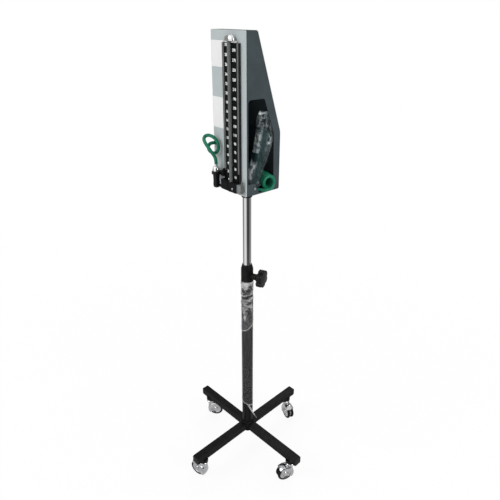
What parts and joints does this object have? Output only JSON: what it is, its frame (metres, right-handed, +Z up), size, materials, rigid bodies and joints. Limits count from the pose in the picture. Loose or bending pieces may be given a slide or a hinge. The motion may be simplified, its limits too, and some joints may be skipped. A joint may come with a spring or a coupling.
{
  "type": "mercury sphygmomanometer stand",
  "caption": "Floor-standing mercury sphygmomanometer: tall scale head with a side cuff compartment and green hose, on a telescoping pole and a cross base with casters.",
  "frame": {"origin": "on the floor under the pole's axis", "axes": "+Z up, -Y towards the person who reads the scale, +X towards the side window"},
  "size_m": [0.4206, 0.4206, 1.217],
  "materials": {
    "black_base": "satin",
    "black_pole": "satin",
    "black_plastic": "matte",
    "black_gloss": "gloss",
    "zinc_steel": "satin",
    "brass_insert": "satin",
    "white_plastic": "satin",
    "chrome_tube": "polished",
    "chrome_trim": "polished",
    "chrome_caster": "polished",
    "slate_paint": "satin",
    "grey_paint": "satin",
    "white_plate": "satin",
    "black_channel": "satin",
    "bright_rail": "satin",
    "scale_black": "gloss",
    "clear_glass": "clear",
    "mercury_metal": "polished",
    "black_rubber": "matte",
    "green_rubber": "satin",
    "grey_plastic": "satin",
    "teal_cloth": "woven",
    "dark_strap": "woven",
    "black_tyre": "matte"
  },
  "bodies": {
    "base": {"base_hub": "black_base", "legs": "black_base", "leg_end_caps": "black_plastic", "caster_sockets": "black_plastic", "column": "black_pole", "column_plug": "zinc_steel", "column_bolt": "zinc_steel", "clamp_collar": "black_plastic", "clamp_nut": "brass_insert"},
    "pad": {"clamp_pad": "brass_insert"},
    "clamp": {"clamp_screw": "zinc_steel", "clamp_knob": "black_plastic"},
    "guide": {"tube_bush": "white_plastic"},
    "head": {"inner_tube": "chrome_tube", "head_socket": "black_base", "head_screws": "zinc_steel", "rear_housing": "slate_paint", "front_panel": "grey_paint", "blank_plates": "white_plate", "scale_channel": "black_channel", "scale_rails": "bright_rail", "scale_strip": "scale_black", "glass_tube": "clear_glass", "mercury": "mercury_metal", "base_block": "black_plastic", "block_cover": "black_plastic", "gaskets": "black_rubber", "top_seat": "white_plastic", "top_cap": "chrome_trim", "valve_seat": "grey_plastic", "reservoir_body": "black_gloss", "reservoir_cap": "chrome_trim", "reservoir_arm": "black_plastic", "hose_grommet": "black_rubber", "loop_hose": "green_rubber", "hose_leads": "green_rubber", "hose_coil": "green_rubber", "tube_connector": "white_plastic", "cuff": "teal_cloth", "cuff_strap": "dark_strap", "cuff_tubes": "black_rubber", "bulb": "black_rubber", "bulb_end_valve": "chrome_trim", "release_valve": "chrome_trim"},
    "lever": {"valve_lever": "bright_rail"},
    "needle": {"release_pin": "zinc_steel"},
    "release": {"release_knob": "chrome_trim"},
    "swivel_front": {"caster_front_housing": "chrome_caster"},
    "wheels_front": {"caster_front_tyres": "black_tyre", "caster_front_discs": "chrome_caster"},
    "swivel_right": {"caster_right_housing": "chrome_caster"},
    "wheels_right": {"caster_right_tyres": "black_tyre", "caster_right_discs": "chrome_caster"},
    "swivel_back": {"caster_back_housing": "chrome_caster"},
    "wheels_back": {"caster_back_tyres": "black_tyre", "caster_back_discs": "chrome_caster"},
    "swivel_left": {"caster_left_housing": "chrome_caster"},
    "wheels_left": {"caster_left_tyres": "black_tyre", "caster_left_discs": "chrome_caster"}
  },
  "joints": [
    {"name": "height", "type": "slide", "parent": "base", "child": "guide", "axis": [0, 0, 1], "range_m": [-0.125, 0.28]},
    {"name": "head_swivel", "type": "hinge", "parent": "guide", "child": "head", "pos_m": [0, 0, 0.6], "axis": [0, 0, 1], "continuous": true},
    {"name": "clamp_pad_slide", "type": "slide", "parent": "base", "child": "pad", "axis": [0.9205, 0.3907, 0], "range_m": [0, 0.0025]},
    {"name": "clamp_screw_turn", "type": "hinge", "parent": "pad", "child": "clamp", "pos_m": [0, 0, 0.614], "axis": [0.9205, 0.3907, 0], "range_deg": [0, 720]},
    {"name": "lever_turn", "type": "hinge", "parent": "head", "child": "lever", "pos_m": [0.0525, -0.058, 0.877], "axis": [1, 0, 0], "range_deg": [0, 90]},
    {"name": "needle_slide", "type": "slide", "parent": "head", "child": "needle", "axis": [1, 0, 0], "range_m": [0, 0.0014]},
    {"name": "release_turn", "type": "hinge", "parent": "needle", "child": "release", "pos_m": [-0.029, 0.01, 0.942], "axis": [1, 0, 0], "range_deg": [0, 720]},
    {"name": "caster_front_swivel", "type": "hinge", "parent": "base", "child": "swivel_front", "pos_m": [0.01231, -0.18058, 0.064], "axis": [0, 0, 1], "continuous": true},
    {"name": "caster_front_roll", "type": "hinge", "parent": "swivel_front", "child": "wheels_front", "pos_m": [-0.00508, -0.18524, 0.023], "axis": [0.2588, -0.9659, 0], "continuous": true},
    {"name": "caster_right_swivel", "type": "hinge", "parent": "base", "child": "swivel_right", "pos_m": [0.18058, 0.01231, 0.064], "axis": [0, 0, 1], "continuous": true},
    {"name": "caster_right_roll", "type": "hinge", "parent": "swivel_right", "child": "wheels_right", "pos_m": [0.17442, -0.0046, 0.023], "axis": [0.9397, -0.342, 0], "continuous": true},
    {"name": "caster_back_swivel", "type": "hinge", "parent": "base", "child": "swivel_back", "pos_m": [-0.01231, 0.18058, 0.064], "axis": [0, 0, 1], "continuous": true},
    {"name": "caster_back_roll", "type": "hinge", "parent": "swivel_back", "child": "wheels_back", "pos_m": [0.00508, 0.17592, 0.023], "axis": [0.2588, 0.9659, 0], "continuous": true},
    {"name": "caster_left_swivel", "type": "hinge", "parent": "base", "child": "swivel_left", "pos_m": [-0.18058, -0.01231, 0.064], "axis": [0, 0, 1], "continuous": true},
    {"name": "caster_left_roll", "type": "hinge", "parent": "swivel_left", "child": "wheels_left", "pos_m": [-0.16785, 0.00042, 0.023], "axis": [-0.7071, 0.7071, 0], "continuous": true}
  ],
  "couplings": [
    {"joint": "clamp_screw_turn", "follows": "clamp_pad_slide", "rad_per_m": 5026.5},
    {"joint": "release_turn", "follows": "needle_slide", "rad_per_m": 8976}
  ]
}
